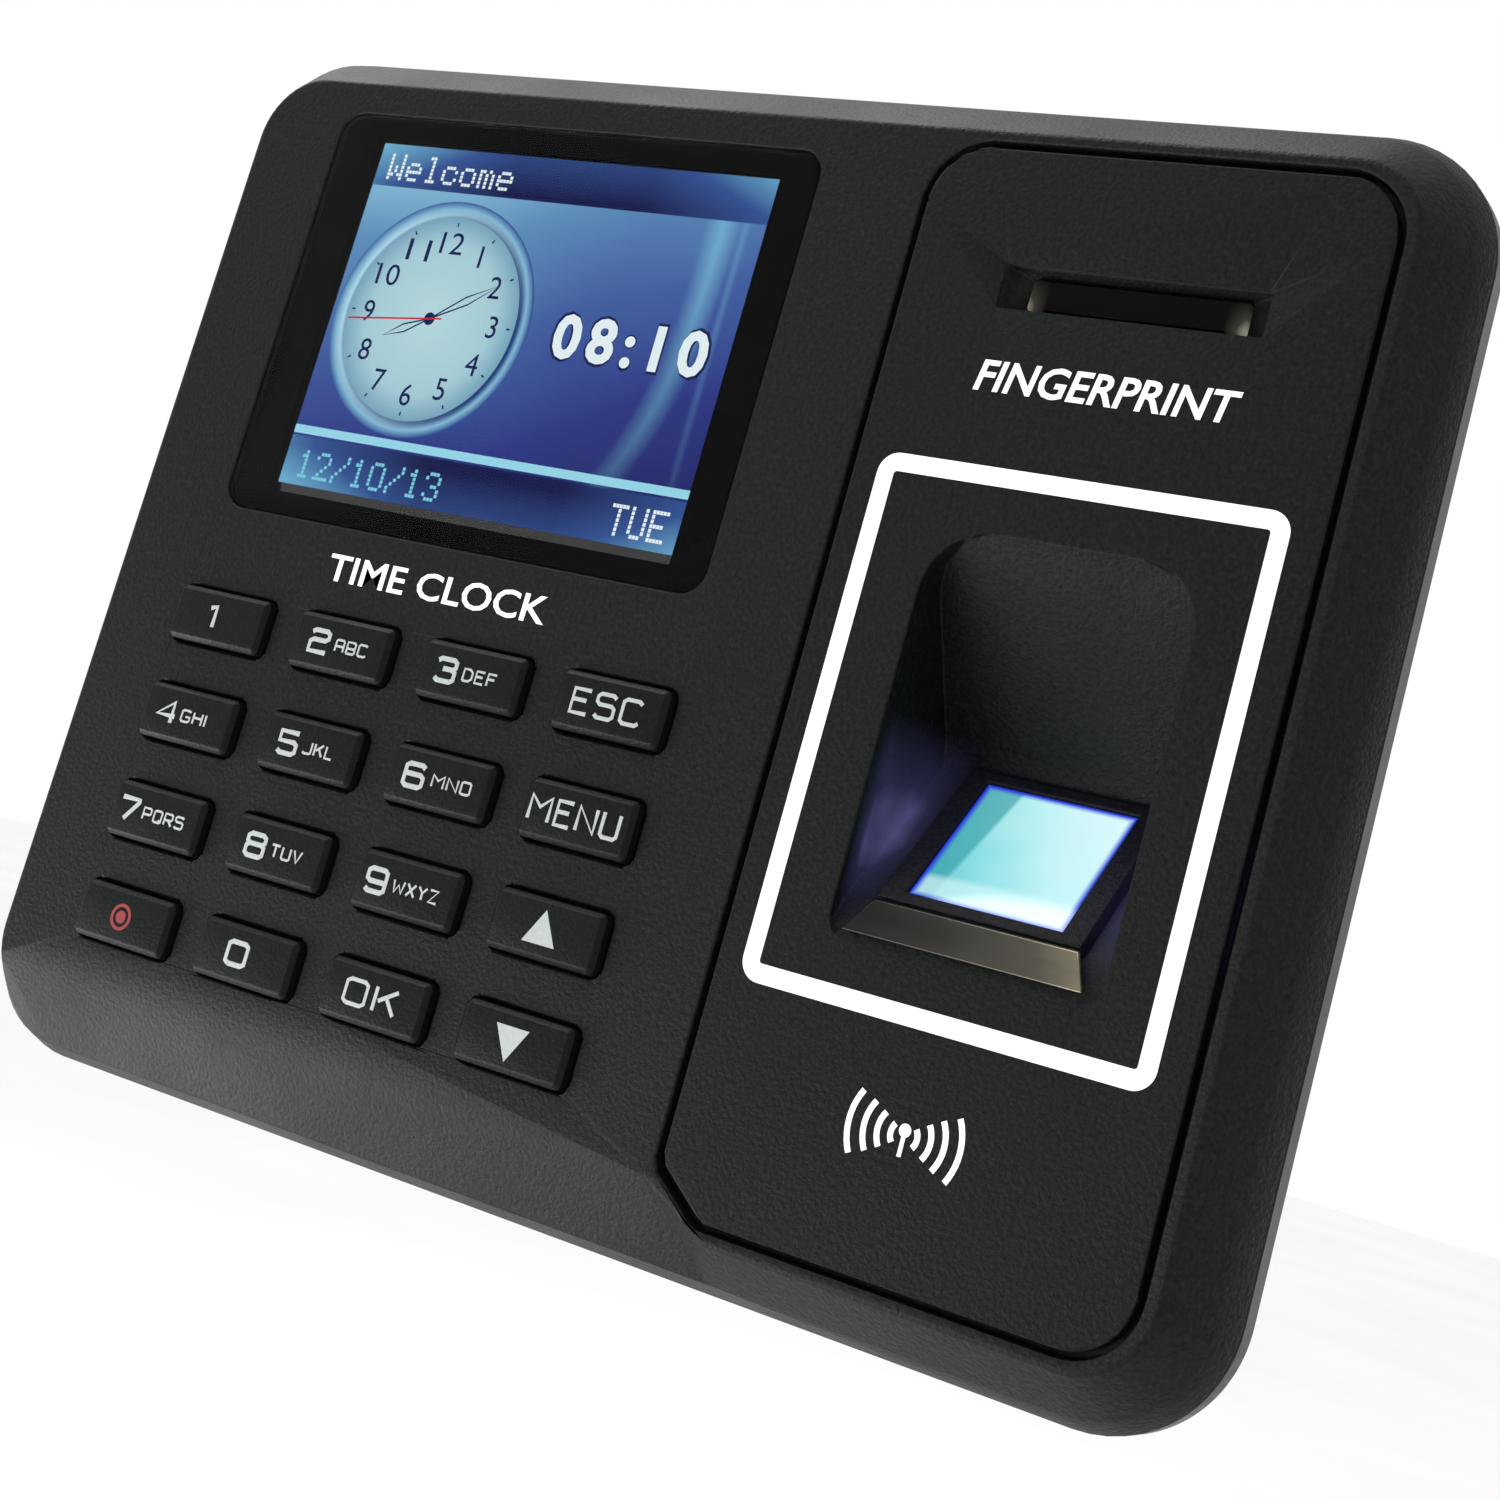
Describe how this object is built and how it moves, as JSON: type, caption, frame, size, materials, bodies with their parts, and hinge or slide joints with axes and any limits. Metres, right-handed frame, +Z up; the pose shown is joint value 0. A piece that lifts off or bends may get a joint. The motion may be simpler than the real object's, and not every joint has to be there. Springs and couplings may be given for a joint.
{
  "type": "fingerprint scanner terminal",
  "caption": "Wall-mounted fingerprint time terminal with a colour screen, a push-key keypad, a lit glass finger sensor in a recess and a contactless reader area.",
  "frame": {"origin": "centre of the wall plate's four slotted holes, on the wall plane", "axes": "+X to the right of a person facing the terminal, +Z up, +Y into the wall"},
  "size_m": [0.1614, 0.0373, 0.128],
  "materials": {
    "shell_black": "fine spark-eroded texture, semi-matt black",
    "panel_black": "fine spark-eroded texture, semi-matt black",
    "rear_black": "fine texture, semi-matt black",
    "window_gloss": "polished acrylic, black printed border",
    "foam_black": "closed-cell foam",
    "display": "lit colour display",
    "bright_steel": "tinned sheet steel",
    "smoked_lens": "smoked clear plastic, polished",
    "board_green": "solder mask",
    "led_white": "LED package",
    "prism_glass": "polished glass lit from inside, cyan",
    "bezel_black": "matt black",
    "lip_gloss": "polished smoked plastic",
    "lens_glass": "coated lens",
    "silicone_grey": "moulded silicone",
    "chip_black": "moulded epoxy",
    "header_cream": "nylon",
    "copper": "etched copper",
    "terminal_green": "moulded polyamide",
    "screw_steel": "zinc plated",
    "screw_black": "black oxide",
    "cable_amber": "polyimide film",
    "cable_white": "PVC ribbon",
    "plunger_white": "acetal",
    "plate_steel": "zinc plated sheet steel",
    "key_black": "fine texture, matt black"
  },
  "bodies": {
    "terminal": {"front_cover": "shell_black", "sensor_panel": "panel_black", "rear_cover": "rear_black", "screen_window": "window_gloss", "display_gasket": "foam_black", "lcd_panel": "display", "lcd_frame": "bright_steel", "status_lens": "smoked_lens", "status_light_board": "board_green", "status_leds": "led_white", "sensor_prism": "prism_glass", "sensor_bezel": "bezel_black", "sensor_lip": "lip_gloss", "sensor_housing": "bezel_black", "sensor_camera_lens": "lens_glass", "sensor_board": "board_green", "sensor_leds": "led_white", "keypad_mat": "silicone_grey", "keypad_board": "board_green", "main_board": "board_green", "processor_chips": "chip_black", "cable_headers": "header_cream", "clock_battery": "bright_steel", "clock_battery_holder": "chip_black", "speaker": "chip_black", "reader_antenna_board": "board_green", "reader_antenna_coil": "copper", "network_jack": "bright_steel", "power_jack": "chip_black", "terminal_block": "terminal_green", "terminal_screws": "screw_steel", "display_cable": "cable_amber", "keypad_cable": "cable_amber", "sensor_cable": "cable_white", "tamper_switch": "chip_black", "wall_plate": "plate_steel", "lock_screw": "screw_steel", "cover_screws": "screw_black", "board_screws": "screw_steel", "small_screws": "screw_steel"},
    "key_1_cap": {"key_1": "key_black"},
    "key_2_cap": {"key_2": "key_black"},
    "key_3_cap": {"key_3": "key_black"},
    "key_esc_cap": {"key_esc": "key_black"},
    "key_4_cap": {"key_4": "key_black"},
    "key_5_cap": {"key_5": "key_black"},
    "key_6_cap": {"key_6": "key_black"},
    "key_menu_cap": {"key_menu": "key_black"},
    "key_7_cap": {"key_7": "key_black"},
    "key_8_cap": {"key_8": "key_black"},
    "key_9_cap": {"key_9": "key_black"},
    "key_up_cap": {"key_up": "key_black"},
    "key_bell_cap": {"key_bell": "key_black"},
    "key_0_cap": {"key_0": "key_black"},
    "key_ok_cap": {"key_ok": "key_black"},
    "key_down_cap": {"key_down": "key_black"},
    "tamper_plunger_body": {"tamper_plunger": "plunger_white"}
  },
  "joints": [
    {"name": "key_1_press", "type": "slide", "parent": "terminal", "child": "key_1_cap", "axis": [0, 1, 0], "range_m": [0, 0.001], "stiffness_N_per_m": 900, "springref_m": -0.0008},
    {"name": "key_2_press", "type": "slide", "parent": "terminal", "child": "key_2_cap", "axis": [0, 1, 0], "range_m": [0, 0.001], "stiffness_N_per_m": 900, "springref_m": -0.0008},
    {"name": "key_3_press", "type": "slide", "parent": "terminal", "child": "key_3_cap", "axis": [0, 1, 0], "range_m": [0, 0.001], "stiffness_N_per_m": 900, "springref_m": -0.0008},
    {"name": "key_esc_press", "type": "slide", "parent": "terminal", "child": "key_esc_cap", "axis": [0, 1, 0], "range_m": [0, 0.001], "stiffness_N_per_m": 900, "springref_m": -0.0008},
    {"name": "key_4_press", "type": "slide", "parent": "terminal", "child": "key_4_cap", "axis": [0, 1, 0], "range_m": [0, 0.001], "stiffness_N_per_m": 900, "springref_m": -0.0008},
    {"name": "key_5_press", "type": "slide", "parent": "terminal", "child": "key_5_cap", "axis": [0, 1, 0], "range_m": [0, 0.001], "stiffness_N_per_m": 900, "springref_m": -0.0008},
    {"name": "key_6_press", "type": "slide", "parent": "terminal", "child": "key_6_cap", "axis": [0, 1, 0], "range_m": [0, 0.001], "stiffness_N_per_m": 900, "springref_m": -0.0008},
    {"name": "key_menu_press", "type": "slide", "parent": "terminal", "child": "key_menu_cap", "axis": [0, 1, 0], "range_m": [0, 0.001], "stiffness_N_per_m": 900, "springref_m": -0.0008},
    {"name": "key_7_press", "type": "slide", "parent": "terminal", "child": "key_7_cap", "axis": [0, 1, 0], "range_m": [0, 0.001], "stiffness_N_per_m": 900, "springref_m": -0.0008},
    {"name": "key_8_press", "type": "slide", "parent": "terminal", "child": "key_8_cap", "axis": [0, 1, 0], "range_m": [0, 0.001], "stiffness_N_per_m": 900, "springref_m": -0.0008},
    {"name": "key_9_press", "type": "slide", "parent": "terminal", "child": "key_9_cap", "axis": [0, 1, 0], "range_m": [0, 0.001], "stiffness_N_per_m": 900, "springref_m": -0.0008},
    {"name": "key_up_press", "type": "slide", "parent": "terminal", "child": "key_up_cap", "axis": [0, 1, 0], "range_m": [0, 0.001], "stiffness_N_per_m": 900, "springref_m": -0.0008},
    {"name": "key_bell_press", "type": "slide", "parent": "terminal", "child": "key_bell_cap", "axis": [0, 1, 0], "range_m": [0, 0.001], "stiffness_N_per_m": 900, "springref_m": -0.0008},
    {"name": "key_0_press", "type": "slide", "parent": "terminal", "child": "key_0_cap", "axis": [0, 1, 0], "range_m": [0, 0.001], "stiffness_N_per_m": 900, "springref_m": -0.0008},
    {"name": "key_ok_press", "type": "slide", "parent": "terminal", "child": "key_ok_cap", "axis": [0, 1, 0], "range_m": [0, 0.001], "stiffness_N_per_m": 900, "springref_m": -0.0008},
    {"name": "key_down_press", "type": "slide", "parent": "terminal", "child": "key_down_cap", "axis": [0, 1, 0], "range_m": [0, 0.001], "stiffness_N_per_m": 900, "springref_m": -0.0008},
    {"name": "tamper_press", "type": "slide", "parent": "terminal", "child": "tamper_plunger_body", "axis": [0, -1, 0], "range_m": [0, 0.0012], "stiffness_N_per_m": 300, "springref_m": -0.0008}
  ]
}
